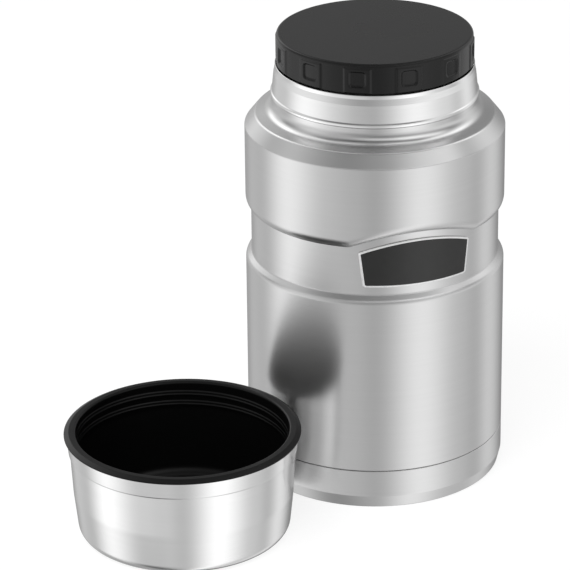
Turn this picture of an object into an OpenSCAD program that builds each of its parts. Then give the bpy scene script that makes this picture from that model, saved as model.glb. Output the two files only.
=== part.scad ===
// Insulated food jar: a double-walled steel jar with a screw stopper, and the bowl that serves as its outer lid,
// taken off and standing mouth up beside it. Millimetres, +Z up. The origin is the centre of the jar's base, and
// the badge faces -Y. Heights are stacked from the base, and each radius is stepped from the one it follows.

/* [Outer shell] */
// Outside diameter of the shoulder band
band_d = 108; // [104:0.5:118]
// Height of the shoulder band, from its lower crease to the chamfer
band_h = 35; // [28:0.5:44]
// How far the waist lies in from the band
waist_step = 2.3; // [1.4:0.1:3.2]
// Height of the rolled underside of the band
underside_h = 4.4; // [3:0.1:6]
// Height of the waist, between its two creases
waist_h = 20.2; // [20:0.1:25]
// How far the lower body stands out from the waist
body_step = 2.4; // [1.4:0.1:3.2]
// Height of the slope from the lower body up to the waist
body_slope_h = 2.4; // [2.2:0.1:5]
// Height of the lower body, from the seam to that slope
body_h = 77.4; // [66:0.2:96]
// Thickness of the outer shell
shell_wall = 0.6; // [0.4:0.05:0.8]

/* [Arch over the badge] */
// Half of the arch's width, measured straight across
arch_w = 27; // [25.5:0.5:32]
// How far the band's lower crease rises at the middle of the arch
arch_h = 6; // [5:0.2:9]

/* [Shoulder and neck] */
// Width of the chamfer above the band, measured inwards
chamfer_w = 4.3; // [3.4:0.1:4.8]
// Height of that chamfer
chamfer_h = 5.4; // [4:0.1:7]
// Rise of the shoulder ledge, from its edge to the neck
ledge_rise = 2.3; // [1:0.1:4]
// Radius of the fillet between the ledge and the neck
neck_fillet = 5; // [3:0.1:5.4]
// Height of the bare neck, from the ledge's corner to the collar
neck_h = 5.5; // [5:0.1:9]
// How far the bare neck stands out from the collar's bore
neck_step = 1.3; // [0.8:0.1:2]
// Height of the neck collar
collar_h = 13.6; // [11:0.1:18]
// Thickness of the collar below its lip
collar_wall = 0.85; // [0.75:0.05:1.2]
// How far the lip is drawn in from the collar's wall
lip_draw = 0.55; // [0.2:0.05:0.55]
// Height over which the lip is drawn in
lip_draw_h = 2.6; // [2:0.1:4]
// Height of the straight part of the lip
lip_h = 1.6; // [1.2:0.1:2.4]
// How far the collar's wall widens from there down to the bead
collar_flare = 0.75; // [0.3:0.05:1]
// How far the collar's bead stands out from the bare neck
bead_step = 0.9; // [0.5:0.1:1.4]
// Height of the bead
bead_h = 1.9; // [1.4:0.1:2.6]
// Height of the shell's spigot inside the collar
spigot_h = 8; // [4:0.2:9]

/* [Food vessel] */
// Inside diameter of the mouth
mouth_d = 79.6; // [76:0.2:82]
// Inside diameter of the food vessel below the neck
vessel_d = 84; // [83:0.2:91]
// Thickness of the food vessel
vessel_wall = 0.5; // [0.35:0.05:0.7]
// Height of the vessel's floor above the base
floor_h = 21; // [19:0.5:30]
// Radius of the corner between the vessel's floor and its wall
floor_corner = 9; // [5:0.5:14]
// Depth of the narrow neck of the vessel, below the lip
vessel_neck_h = 30; // [27:0.5:36]
// Height of the vessel's sloped shoulder
vessel_shoulder_h = 6; // [4:0.5:9]
// Thickness of the foil wrapped round the vessel
foil_t = 0.15; // [0.1:0.05:0.3]
// How far the foil stops short of the vessel's weld and shoulder
foil_margin = 2; // [1:0.5:6]

/* [Bottom] */
// Height of the base cup, up to the seam
cup_h = 17; // [15:0.2:24]
// Thickness of the base cup
cup_wall = 0.7; // [0.5:0.05:0.9]
// Height of the bevel round the foot
bevel_h = 5.4; // [3:0.2:7]
// Width of that bevel, measured inwards
bevel_w = 1.3; // [0.8:0.1:2.5]
// Width of the foot ring that the jar stands on
foot_w = 6; // [4:0.5:10]
// Depth of the recess inside the foot ring
recess_h = 1.5; // [1:0.1:2.5]
// Width of the dark seam line above the base cup
seam_gap = 0.3; // [0.15:0.05:0.5]
// How far the shell's tail reaches down into the base cup
tail_h = 8; // [6:0.2:9]
// Thickness of the outer bottom
bottom_t = 0.8; // [0.6:0.05:1.2]
// Height of the outer bottom's turned-down flange
bottom_flange_h = 4; // [3:0.2:5]
// Radius of the pump-out dimple
dimple_r = 8; // [6:0.5:12]
// Depth of the pump-out dimple
dimple_h = 1.2; // [0.8:0.1:1.6]
// Radius of the pump-out hole
pump_hole_r = 1.5; // [1:0.1:2.5]
// Radius of the sealing bead's head
bead_head_r = 4; // [3.5:0.1:5.5]
// Height of the sealing bead's head
bead_head_h = 1; // [0.6:0.1:1.2]

/* [Getter] */
// Distance of the getter from the jar's axis
getter_place = 26; // [20:0.5:36]
// Radius of the getter tablet
getter_r = 5; // [3.5:0.1:6]
// Thickness of the getter tablet
getter_t = 2.2; // [1.5:0.1:3]
// Thickness of the clip's sheet
clip_t = 0.4; // [0.3:0.05:0.6]
// Length of each welded tab of the clip
clip_tab = 5; // [4:0.5:7]

/* [Badge] */
// Height of the badge's lower edge above the waist's lower crease
badge_rise = 3.1; // [2.5:0.05:3.6]
// Half of the badge's width at its lower edge
badge_low_w = 22.4; // [19:0.1:23]
// Half of the badge's width at its upper corners
badge_top_w = 24; // [20:0.1:24.5]
// Height of the badge at its upper corners
badge_side_h = 15.1; // [12:0.1:15.6]
// Rise of the badge's arched upper edge above its corners
badge_arch = 5.1; // [4:0.1:6]
// Radius of the badge's corners
badge_corner = 1; // [0.4:0.1:1.6]
// Width of the badge's raised border
badge_border = 1; // [0.7:0.1:1.6]
// Thickness of the badge plate
badge_t = 0.9; // [0.7:0.05:1.2]
// Depth of the field inside the border
field_depth = 0.3; // [0.2:0.05:0.45]
// Thickness of the black inlay in that field
inlay_t = 0.2; // [0.1:0.05:0.2]
// Thickness of the adhesive pad under the plate
tape_t = 0.3; // [0.2:0.05:0.5]

/* [Stopper] */
// Height of the stopper's cap above the lip
cap_h = 12.7; // [11.5:0.1:18]
// How far the cap's side lies inside the collar's wall
cap_inset = 1.25; // [0.8:0.05:1.6]
// Thickness of the cap's top
cap_top_t = 2.2; // [1.6:0.1:3]
// Radius of the cap's top edge
cap_edge = 1.2; // [0.6:0.1:1.6]
// Number of grip pads round the cap
pad_count = 12; // [8:1:14]
// Width of each pad, as an angle round the cap
pad_angle = 15.5; // [13:0.5:20]
// How far the pads stand out from the cap
pad_step = 0.4; // [0.3:0.05:0.7]
// Height of the plain rim above the pads
pad_rim = 1.6; // [1.4:0.1:3]
// Width of the pocket in each pad
pocket_w = 6.4; // [5:0.1:7]
// Height of the pocket in each pad
pocket_h = 6.3; // [5:0.1:6.6]
// Height of the pocket's lower edge above the cap's lower edge
pocket_rise = 3.1; // [2:0.1:3.3]
// Depth of the pocket
pocket_depth = 0.9; // [0.6:0.05:1.2]
// How far the plug's wall lies inside the mouth, which leaves room for the thread
thread_room = 1.7; // [1.2:0.1:2.2]
// Depth of the plug below the lip
plug_h = 24; // [20:0.5:26]
// Thickness of the plug's wall
plug_wall = 1.6; // [1.2:0.1:2.2]
// Thickness of the flange that closes the cap from below
plug_flange_t = 2.2; // [1.6:0.1:3]
// How far the plug's flange reaches past its wall
plug_flange_w = 0.3; // [0.2:0.1:0.5]
// Depth of the gasket's groove in the plug
groove_depth = 1.7; // [1.2:0.1:2.2]
// Height of the gasket
gasket_h = 2.4; // [1.8:0.1:3]
// Gap between the stopper and what it seats against
seat_gap = 0.3; // [0.2:0.05:0.5]

/* [Bowl lid] */
// Height of the bowl
bowl_h = 45.2; // [42:0.2:60]
// Gap between the bead and the bowl's mouth when the bowl is on the jar
bowl_clearance = 0.6; // [0.3:0.1:1]
// Width of the bowl's rim flange
rim_w = 4.9; // [4:0.1:6]
// Thickness of the rim flange
rim_t = 1.5; // [1:0.1:2.5]
// How far the rim flange stands out past the steel collar below it
rim_lip = 1; // [0.5:0.1:1.5]
// Width of the slope round the outside of the rim flange
rim_slope_w = 2; // [1:0.1:2.6]
// Height of that slope
rim_slope_h = 1; // [0.4:0.1:1]
// Height of the flared steel collar under the rim flange
bowl_collar_h = 7; // [5:0.1:10]
// How far the collar flares out over its height
bowl_flare = 0.7; // [0.3:0.1:1.2]
// Width of the step where the collar meets the bowl's wall
bowl_collar_step = 0.6; // [0.4:0.1:0.9]
// How far the bowl's wall draws in from the collar down to the foot
bowl_draft = 2.9; // [1.5:0.1:4]
// How far the wall bulges outside a straight line at half height
bowl_bulge = 0.5; // [0.1:0.1:0.8]
// Radius of the bowl's foot
bowl_foot = 5; // [3:0.5:7]
// Thickness of the steel bowl
bowl_wall = 0.5; // [0.4:0.05:0.7]
// Thickness of the liner
liner_wall = 1.4; // [1.1:0.1:1.7]
// Height of the liner's floor above the steel bowl's floor
liner_floor_gap = 1.5; // [0.8:0.1:3]
// Gap between the jar's side and the bowl standing beside it
bowl_gap = 2.5; // [1:0.5:40]
// Direction of the bowl from the jar, turned from -Y towards +X
bowl_side = -68.3; // [-150:0.1:-30]

/* [Hidden] */
$fn = 96;
arc_steps = 6;
small_arc_steps = 3;
through = 1;

// Radii of the corners pressed or rolled into the shell
body_corner = 4;
waist_corner = 3;
band_corner = 1;
ledge_corner = 2.8;

// Radii of the other corners, from the broadest to the finest
bulge_corner = 40;
mouth_corner = 6;
shoulder_corner = 4;
plug_corner = 3;
cavity_corner = 2;
rolled_corner = 1;
soft_corner = 0.6;
fine_corner = 0.3;

// Radii of the outer shell
band_r = band_d / 2;
waist_r = band_r - waist_step;
body_r = waist_r + body_step;
ledge_r = band_r - chamfer_w;
tail_r = body_r - cup_wall;

// Radii of the neck, outwards from the mouth
mouth_r = mouth_d / 2;
vessel_neck_r = mouth_r + vessel_wall;
collar_bore_r = vessel_neck_r + shell_wall;
collar_r = collar_bore_r + collar_wall;
neck_r = collar_bore_r + neck_step;
bead_r = neck_r + bead_step;
bead_corner = 0.7;
bead_slope_h = 0.7;
lip_corner = 0.4;
soft_lip_corner = 0.25;
vessel_r = vessel_d / 2;

// Heights of the outer shell
z_seam = cup_h;
z_tail = z_seam - tail_h;
z_body = z_seam + body_h;
z_waist = z_body + body_slope_h;
z_band = z_waist + waist_h;
z_chamfer = z_band + band_h;
z_edge = z_chamfer + chamfer_h;
z_ledge = z_edge + ledge_rise;
z_collar = z_ledge + neck_h;
z_lip = z_collar + collar_h;

// The underside is one arc that stands square to the band's wall. It meets the waist in a crease, and the corner
// where its two end tangents cross lies at z_underside.
underside_r = (pow(waist_step, 2) + pow(underside_h, 2)) / (2 * waist_step);
z_underside = z_band + underside_h - underside_r * waist_step / underside_h;
underside_slope = (z_underside - z_band) / waist_step;
underside_corner = 0.98 * underside_r;

// The arch is a circle seen straight from the badge's side
arch_radius = (pow(arch_w, 2) + pow(arch_h, 2)) / (2 * arch_h);
z_arch_centre = z_band + arch_h - arch_radius;
arch_overrun = 1.5;
arch_depth = 16;
arch_facets = 14;

// Heights of the food vessel
weld_margin = 3;
z_weld = floor_h + floor_corner + weld_margin;
z_vessel_neck = z_lip - vessel_neck_h;
z_vessel_body = z_vessel_neck - vessel_shoulder_h;

// The outer bottom and the base cup
foot_corner = 0.4;
z_bottom = z_tail + bottom_flange_h;
clip_w = getter_r;
dimple_slope_w = 1;
bead_head_corner = 0.5;

// The badge's outline and layers
z_badge = z_waist + badge_rise;
tape_r = waist_r + tape_t;
badge_r = tape_r + badge_t;
field_r = badge_r - field_depth;
badge_arch_steps = 16;

// The stopper
cap_r = collar_r - cap_inset;
pad_r = cap_r + pad_step;
z_cap = z_lip + seat_gap;
z_cap_top = z_lip + cap_h + seat_gap;
plug_r = mouth_r - thread_room;
flange_r = plug_r + plug_flange_w;
groove_r = plug_r - groove_depth;
cavity_r = plug_r - plug_wall;
cavity_neck_r = groove_r - plug_wall;
z_groove = z_cap - gasket_h - 2 * seat_gap;
z_plug = z_lip - plug_h;
z_plug_floor = z_plug + plug_wall;
fin_t = 0.5;
fin_rise = 1;
pocket_corner = 1.2;
pad_lift = 0.5;
pad_root = 1;

// The bowl
bowl_mouth_r = bead_r + bowl_clearance;
bowl_r = bowl_mouth_r + rim_w;
bowl_collar_r = bowl_r - rim_lip;
bowl_top_r = bowl_collar_r - bowl_flare - bowl_collar_step;
bowl_base_r = bowl_top_r - bowl_draft;
z_rim = bowl_h - rim_t;
z_bowl_collar = z_rim - bowl_collar_h;
liner_mouth_h = 4;
liner_foot_gap = 1;
bowl_reach = body_r + bowl_gap + bowl_r;
bowl_place = [bowl_reach * sin(bowl_side), -bowl_reach * cos(bowl_side), 0];

function unit(v) = v / norm(v);

// Arc that rounds the corner [x, y, radius] between its two neighbours
function corner_arc(before, here, after, steps) =
    let (tip = [here[0], here[1]])
    let (back = unit([before[0], before[1]] - tip))
    let (ahead = unit([after[0], after[1]] - tip))
    let (half = acos(back * ahead) / 2)
    let (centre = tip + unit(back + ahead) * here[2] / sin(half))
    let (first = tip + back * here[2] / tan(half) - centre)
    let (last = tip + ahead * here[2] / tan(half) - centre)
    let (turn = atan2(first[0] * last[1] - first[1] * last[0], first * last))
    let (start = atan2(first[1], first[0]))
    [for (k = [0:steps]) centre + here[2] * [cos(start + turn * k / steps), sin(start + turn * k / steps)]];

// Closed outline through corners [x, y, radius]; a radius of 0 keeps the corner sharp
function rounded(corners, steps = arc_steps) = [
    for (i = [0:len(corners) - 1])
        let (before = corners[(i + len(corners) - 1) % len(corners)])
        let (after = corners[(i + 1) % len(corners)])
        each corners[i][2] == 0
            ? [[corners[i][0], corners[i][1]]]
            : corner_arc(before, corners[i], after, steps)
];

module revolve(corners) {
    rotate_extrude() polygon(rounded(corners));
}

module tube(r_out, r_in, z_low, z_high) {
    translate([0, 0, z_low]) difference() {
        cylinder(r = r_out, h = z_high - z_low);
        translate([0, 0, -through]) cylinder(r = r_in, h = z_high - z_low + 2 * through);
    }
}

// Full solid inside the shell's outline, drawn in by the wall for the hollow inside it. The band's lower part,
// below z_split, is a ring round the waist, and the arch is cut into that ring alone.
module shell_solid(inset, overrun) {
    z_step = z_seam + seam_gap + inset;
    z_split = z_underside + arch_h + 2 * through;
    revolve([
        [0, z_tail - overrun, 0],
        [tail_r - inset, z_tail - overrun, 0],
        [tail_r - inset, z_step, 0],
        [body_r - inset, z_step, 0],
        [body_r - inset, z_body, body_corner - inset],
        [waist_r - inset, z_waist, waist_corner + inset],
        [waist_r - inset, z_split, 0],
        [band_r - inset, z_split, 0],
        [band_r - inset, z_chamfer - inset / 2, band_corner - inset],
        [ledge_r - inset, z_edge - inset, ledge_corner - inset],
        [neck_r - inset, z_ledge - inset, neck_fillet + inset],
        [neck_r - inset, z_collar - inset, 0],
        [collar_bore_r - inset, z_collar - inset, 0],
        [collar_bore_r - inset, z_collar + spigot_h + overrun, 0],
        [0, z_collar + spigot_h + overrun, 0]
    ]);
    difference() {
        revolve([
            [waist_r - inset - through, z_band + inset / 2 - underside_slope * through, 0],
            [band_r - inset, z_underside + inset / 2, underside_corner - inset],
            [band_r - inset, z_split, 0],
            [waist_r - inset - through, z_split, 0]
        ]);
        arch_cut(inset);
    }
}

// Height of the arch's crease at a distance x from its middle, seen straight from the badge's side
function arch_z(x) = z_arch_centre + sqrt(pow(arch_radius, 2) - pow(x, 2));

// The relief over the badge: a prism tilted as steeply as the underside where it leaves the waist. Its roof follows
// the arch, and it starts arch_depth inside the waist.
module arch_cut(inset) {
    tilt = atan(underside_slope);
    half = arch_w + arch_overrun;
    wall_r = waist_r - inset;
    roof = [
        for (k = [0:arch_facets])
            let (x = half - 2 * half * k / arch_facets)
            [x, (arch_z(x) + inset / 2) * cos(tilt) - sqrt(pow(wall_r, 2) - pow(x, 2)) * sin(tilt)]
    ];
    low = (z_band - arch_h) * cos(tilt) - wall_r * sin(tilt);
    start = z_band * sin(tilt) + (wall_r - arch_depth) * cos(tilt);
    rotate([90 - tilt, 0, 0]) translate([0, 0, start]) linear_extrude(height = arch_depth + band_h / 2)
        polygon(concat([[-half, low], [half, low]], roof));
}

// Drawn outer wall, with the spigot that holds the collar and the tail that holds the base cup
module outer_shell() {
    color("silver") difference() {
        shell_solid(0, 0);
        shell_solid(shell_wall, through);
    }
}

// Rolled collar: a lip drawn in round the mouth, a tapered wall, and the bead that the bowl catches under
module neck_collar() {
    z_bead = z_collar + bead_h;
    z_draw = z_lip - lip_h - lip_draw_h;
    color("gainsboro") revolve([
        [collar_bore_r, z_collar, 0],
        [bead_r, z_collar, bead_corner],
        [bead_r, z_bead, lip_corner],
        [collar_r + collar_flare, z_bead + bead_slope_h, lip_corner],
        [collar_r, z_draw, rolled_corner],
        [collar_r - lip_draw, z_lip - lip_h, rolled_corner],
        [collar_r - lip_draw, z_lip, soft_lip_corner],
        [collar_bore_r, z_lip, 0]
    ]);
}

// Food vessel wall: narrow neck inside the collar, shoulder, and straight wall down to the weld
module inner_vessel() {
    color("silver") revolve([
        [vessel_r, z_weld, 0],
        [vessel_r + vessel_wall, z_weld, 0],
        [vessel_r + vessel_wall, z_vessel_body, shoulder_corner],
        [vessel_neck_r, z_vessel_neck, shoulder_corner],
        [vessel_neck_r, z_lip, 0],
        [mouth_r, z_lip, 0],
        [mouth_r, z_vessel_neck, shoulder_corner],
        [vessel_r, z_vessel_body, shoulder_corner]
    ]);
}

// Drawn bottom, butt-welded to the vessel's wall
module vessel_bottom() {
    z_low = floor_h - vessel_wall;
    color("silver") revolve([
        [0, z_low, 0],
        [vessel_r + vessel_wall, z_low, floor_corner + vessel_wall],
        [vessel_r + vessel_wall, z_weld, 0],
        [vessel_r, z_weld, 0],
        [vessel_r, floor_h, floor_corner],
        [0, floor_h, 0]
    ]);
}

module radiation_foil() {
    r_in = vessel_r + vessel_wall;
    color("peru") tube(r_in + foil_t, r_in, z_weld + foil_margin, z_vessel_body - foil_margin - weld_margin);
}

// Dished bottom that closes the vacuum space, with its flange turned down inside the shell's tail
module outer_bottom() {
    r_out = tail_r - shell_wall;
    z_low = z_bottom - bottom_t;
    color("silver") difference() {
        revolve([
            [0, z_low - dimple_h, 0],
            [dimple_r, z_low - dimple_h, soft_corner],
            [dimple_r + dimple_slope_w, z_low, soft_corner],
            [r_out - bottom_t, z_low, soft_corner],
            [r_out - bottom_t, z_tail, 0],
            [r_out, z_tail, 0],
            [r_out, z_bottom, soft_corner + bottom_t],
            [dimple_r + dimple_slope_w, z_bottom, soft_corner],
            [dimple_r, z_bottom - dimple_h, soft_corner],
            [0, z_bottom - dimple_h, 0]
        ]);
        translate([0, 0, z_low - dimple_h - through]) cylinder(r = pump_hole_r, h = bottom_t + 2 * through);
    }
}

// Sealing bead: a stem in the pump-out hole and a round head under it
module vacuum_plug() {
    z_head = z_bottom - bottom_t - dimple_h;
    color("dimgray") revolve([
        [0, z_head - bead_head_h, 0],
        [bead_head_r, z_head - bead_head_h, bead_head_corner],
        [bead_head_r, z_head, 0],
        [pump_hole_r, z_head, 0],
        [pump_hole_r, z_head + bottom_t, 0],
        [0, z_head + bottom_t, 0]
    ]);
}

module getter() {
    color("slategray") translate([getter_place, 0, z_bottom]) cylinder(r = getter_r, h = getter_t);
}

// Bridge of sheet over the getter, welded down by a tab on either side
module clip_outline(z_top, half_span) {
    polygon([
        [-half_span - clip_tab, 0],
        [-half_span, 0],
        [-half_span, z_top],
        [half_span, z_top],
        [half_span, 0],
        [half_span + clip_tab, 0],
        [half_span + clip_tab, clip_t],
        [half_span + clip_t, clip_t],
        [half_span + clip_t, z_top + clip_t],
        [-half_span - clip_t, z_top + clip_t],
        [-half_span - clip_t, clip_t],
        [-half_span - clip_tab, clip_t]
    ]);
}

module getter_clip() {
    color("lightsteelblue") translate([getter_place + clip_w / 2, 0, z_bottom]) rotate([90, 0, -90])
        linear_extrude(height = clip_w) clip_outline(getter_t, getter_r);
}

// Outer base cup with a bevelled foot ring round a shallow recess
module base_cup() {
    foot_r = body_r - bevel_w;
    z_recess = recess_h + cup_wall;
    color("silver") revolve([
        [0, recess_h, 0],
        [foot_r - foot_w, recess_h, foot_corner],
        [foot_r - foot_w - recess_h / 2, 0, foot_corner],
        [foot_r, 0, soft_corner],
        [body_r, bevel_h, soft_corner],
        [body_r, z_seam, 0],
        [tail_r, z_seam, 0],
        [tail_r, bevel_h + cup_wall / 2, foot_corner],
        [foot_r - cup_wall, cup_wall, foot_corner],
        [foot_r - foot_w + cup_wall, cup_wall, foot_corner],
        [foot_r - foot_w + cup_wall, z_recess, foot_corner],
        [0, z_recess, 0]
    ]);
}

// The badge's outline, drawn in by inset, in the plane across its facing direction
function badge_outline(inset) =
    let (radius = (pow(badge_top_w, 2) + pow(badge_arch, 2)) / (2 * badge_arch) - inset)
    let (z_centre = z_badge + badge_side_h + badge_arch - radius - inset)
    let (top_w = badge_top_w - inset)
    let (low_w = badge_low_w - inset)
    let (half = asin(top_w / radius))
    let (corner = max(badge_corner - inset / 2, fine_corner))
    rounded([
        [-low_w, z_badge + inset, corner],
        [low_w, z_badge + inset, corner],
        for (k = [0:badge_arch_steps])
            let (a = half - 2 * half * k / badge_arch_steps)
            [radius * sin(a), z_centre + radius * cos(a), k == 0 || k == badge_arch_steps ? corner : 0]
    ]);

// Curved sheet between two radii, cut to the badge's outline
module badge_layer(r_in, r_out, inset) {
    intersection() {
        tube(r_out, r_in, z_waist, z_band + band_h);
        rotate([90, 0, 0]) linear_extrude(height = band_d) polygon(badge_outline(inset));
    }
}

module badge_plate() {
    color("gainsboro") difference() {
        badge_layer(tape_r, badge_r, 0);
        badge_layer(field_r, badge_r + through, badge_border);
    }
}

module badge_field() {
    color("dimgray") badge_layer(field_r, field_r + inlay_t, badge_border);
}

module badge_tape() {
    color("white") badge_layer(waist_r, tape_r, badge_border / 2);
}

// Sealing ring: a body in the groove and a thin lip that wipes the mouth
module stopper_gasket() {
    r_in = groove_r + seat_gap;
    r_out = mouth_r - seat_gap;
    z_low = z_groove + seat_gap;
    color("dimgray") revolve([
        [r_in, z_low, fine_corner],
        [plug_r - fin_t / 2, z_low, fine_corner],
        [plug_r, z_low + fin_rise, fine_corner],
        [r_out, z_low + fin_rise - fin_t, fin_t / 3],
        [r_out, z_low + fin_rise, fin_t / 3],
        [r_out - fin_t, z_low + gasket_h, fine_corner],
        [r_in, z_low + gasket_h, fine_corner]
    ]);
}

// Pocket with rounded corners, cut straight in towards the axis
module grip_pocket() {
    half = pocket_w / 2;
    z_low = z_cap + pocket_rise;
    rotate([90, 0, 0]) translate([0, 0, pad_r - pocket_depth]) linear_extrude(height = pocket_depth + through)
        polygon(rounded([
            [-half, z_low, pocket_corner],
            [half, z_low, pocket_corner],
            [half, z_low + pocket_h, pocket_corner],
            [-half, z_low + pocket_h, pocket_corner]
        ], small_arc_steps));
}

// One raised pad of the grip ring, with a chamfered top and its ends square to the cap
module grip_pad() {
    z_low = z_cap + pad_lift;
    z_top = z_cap_top - pad_rim;
    r_root = cap_r - pad_root;
    rotate([0, 0, -90 - pad_angle / 2]) rotate_extrude(angle = pad_angle) polygon([
        [r_root, z_low],
        [pad_r, z_low],
        [pad_r, z_top - pad_step],
        [r_root, z_top + cap_r - r_root]
    ]);
}

// Moulded cap: a plain round top over a ring of pads, each with a pocket for the finger tips
module stopper_cap() {
    color("dimgray") difference() {
        union() {
            revolve([
                [0, z_cap_top, 0],
                [cap_r, z_cap_top, cap_edge],
                [cap_r, z_cap, fine_corner],
                [flange_r, z_cap, 0],
                [flange_r, z_cap_top - cap_top_t, rolled_corner],
                [0, z_cap_top - cap_top_t, 0]
            ]);
            for (i = [0:pad_count - 1]) rotate([0, 0, i * 360 / pad_count]) grip_pad();
        }
        for (i = [0:pad_count - 1]) rotate([0, 0, i * 360 / pad_count]) grip_pocket();
    }
}

// Hollow plug: flange welded into the cap, groove for the gasket, wall for the thread, rounded bottom
module stopper_plug() {
    z_flange = z_cap + plug_flange_t;
    color("dimgray") revolve([
        [0, z_plug, 0],
        [plug_r, z_plug, plug_corner],
        [plug_r, z_groove, 0],
        [groove_r, z_groove, 0],
        [groove_r, z_cap, 0],
        [flange_r, z_cap, 0],
        [flange_r, z_flange, 0],
        [cavity_neck_r, z_flange, 0],
        [cavity_neck_r, z_groove - plug_wall, 0],
        [cavity_r, z_groove - plug_wall - groove_depth, 0],
        [cavity_r, z_plug_floor, cavity_corner],
        [0, z_plug_floor, 0]
    ]);
}

// Foam poured into the plug and the cap
module stopper_foam() {
    r_low = cavity_r;
    z_flange = z_cap + plug_flange_t;
    color("khaki") revolve([
        [0, z_plug_floor, 0],
        [r_low, z_plug_floor, cavity_corner],
        [r_low, z_groove - plug_wall - groove_depth, 0],
        [cavity_neck_r, z_groove - plug_wall, 0],
        [cavity_neck_r, z_cap_top - cap_top_t - seat_gap, rolled_corner],
        [0, z_cap_top - cap_top_t - seat_gap, 0]
    ]);
}

// Spun steel bowl: foot corner, lightly bulged wall, step and flared collar under the rim
module bowl_shell() {
    z_half = z_bowl_collar / 2;
    half_r = (bowl_top_r + bowl_base_r) / 2 + bowl_bulge;
    color("silver") translate(bowl_place) revolve([
        [0, 0, 0],
        [bowl_base_r, 0, bowl_foot],
        [half_r, z_half, bulge_corner],
        [bowl_top_r, z_bowl_collar - bowl_collar_step, fine_corner],
        [bowl_top_r + bowl_collar_step, z_bowl_collar, fine_corner],
        [bowl_collar_r, z_rim, 0],
        [bowl_collar_r - bowl_wall, z_rim, 0],
        [bowl_top_r + bowl_collar_step - bowl_wall, z_bowl_collar, fine_corner],
        [bowl_top_r - bowl_wall, z_bowl_collar - bowl_collar_step, fine_corner],
        [half_r - bowl_wall, z_half, bulge_corner],
        [bowl_base_r - bowl_wall, bowl_wall, bowl_foot - bowl_wall],
        [0, bowl_wall, 0]
    ]);
}

// Moulded liner: rim flange over the steel collar, straight mouth for the thread, and a rounded floor
module bowl_liner() {
    z_floor = bowl_wall + liner_floor_gap;
    z_mouth = z_bowl_collar - liner_mouth_h;
    mouth_wall_r = bowl_mouth_r + liner_wall;
    low_r = bowl_base_r - bowl_wall - liner_foot_gap;
    color("dimgray") translate(bowl_place) revolve([
        [0, z_floor, 0],
        [low_r, z_floor, bowl_foot],
        [mouth_wall_r, z_mouth, mouth_corner],
        [mouth_wall_r, z_rim, 0],
        [bowl_r, z_rim, fine_corner / 3],
        [bowl_r, bowl_h - rim_slope_h, fine_corner],
        [bowl_r - rim_slope_w, bowl_h, rolled_corner],
        [bowl_mouth_r, bowl_h, soft_corner],
        [bowl_mouth_r, z_mouth, mouth_corner],
        [low_r - liner_wall, z_floor + liner_wall, bowl_foot],
        [0, z_floor + liner_wall, 0]
    ]);
}

outer_shell();
neck_collar();
inner_vessel();
vessel_bottom();
radiation_foil();
outer_bottom();
vacuum_plug();
getter();
getter_clip();
base_cup();
badge_plate();
badge_field();
badge_tape();
stopper_gasket();
stopper_cap();
stopper_plug();
stopper_foam();
bowl_shell();
bowl_liner();
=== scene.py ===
import math

import bmesh
import bpy
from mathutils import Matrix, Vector


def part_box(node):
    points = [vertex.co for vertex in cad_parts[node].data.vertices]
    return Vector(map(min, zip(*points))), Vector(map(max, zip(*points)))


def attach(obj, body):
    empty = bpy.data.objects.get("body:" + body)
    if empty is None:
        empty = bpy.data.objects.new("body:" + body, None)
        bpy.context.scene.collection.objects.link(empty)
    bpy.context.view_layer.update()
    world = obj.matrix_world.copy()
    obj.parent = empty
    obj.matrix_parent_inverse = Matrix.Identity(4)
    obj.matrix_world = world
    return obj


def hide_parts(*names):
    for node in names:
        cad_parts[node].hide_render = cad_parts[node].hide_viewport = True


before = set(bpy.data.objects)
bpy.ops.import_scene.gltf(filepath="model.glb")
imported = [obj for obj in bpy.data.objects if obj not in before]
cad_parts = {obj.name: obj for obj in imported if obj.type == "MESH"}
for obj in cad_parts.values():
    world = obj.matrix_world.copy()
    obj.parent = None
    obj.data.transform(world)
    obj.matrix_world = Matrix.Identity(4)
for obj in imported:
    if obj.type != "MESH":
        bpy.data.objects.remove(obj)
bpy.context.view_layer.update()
MM = 0.001

# --------------------------------------------------------------------------------------------------
# Outer shell: drawn from one sheet of stainless steel, 0.6 mm thick. It is spun in to the neck,
# rolled in at the waist, and pressed in over the badge, where the band's lower edge rises in an
# arch. Its grain runs round it.
# --------------------------------------------------------------------------------------------------
SHELL_WALL = 0.6 * MM
band_r = 54.0 * MM
waist_r = band_r - 2.3 * MM
body_r = waist_r + 2.4 * MM
ledge_r = band_r - 4.3 * MM
tail_r = body_r - 0.7 * MM
neck_r = 42.2 * MM
collar_bore_r = 40.9 * MM
z_seam = 17.0 * MM
z_tail = z_seam - 8.0 * MM
z_body = z_seam + 77.4 * MM
z_waist = z_body + 2.4 * MM
z_band = z_waist + 20.2 * MM
z_roll = z_waist - 0.6 * MM
z_chamfer = z_band + 35.0 * MM
z_edge = z_chamfer + 5.4 * MM
z_ledge = z_edge + 2.3 * MM
z_collar = z_ledge + 5.5 * MM
z_sleeve = z_collar + 8.0 * MM
seam_gap = 0.3 * MM
tail_step_h = 0.9 * MM
roll_h = 2.4 * MM

# The band's underside is an arc that meets the waist in a crease and the band without one.
underside_h = 4.4 * MM
underside_r = ((band_r - waist_r) ** 2 + underside_h**2) / (2 * (band_r - waist_r))
underside_share = 0.97
underside_slack = 0.3 * MM
z_underside = z_band + underside_h - underside_r * (band_r - waist_r) / underside_h

# Corner radii, outside and, where the wall's thickness doesn't give them, inside.
seam_corner = 0.25 * MM
roll_corner = 3.1 * MM
roll_corner_in = 2.6 * MM
waist_corner = 0.8 * MM
waist_corner_in = 1.2 * MM
chamfer_corner = 1.0 * MM
edge_corner = 2.0 * MM
neck_fillet = 5.0 * MM
neck_corner = 0.2 * MM

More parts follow.
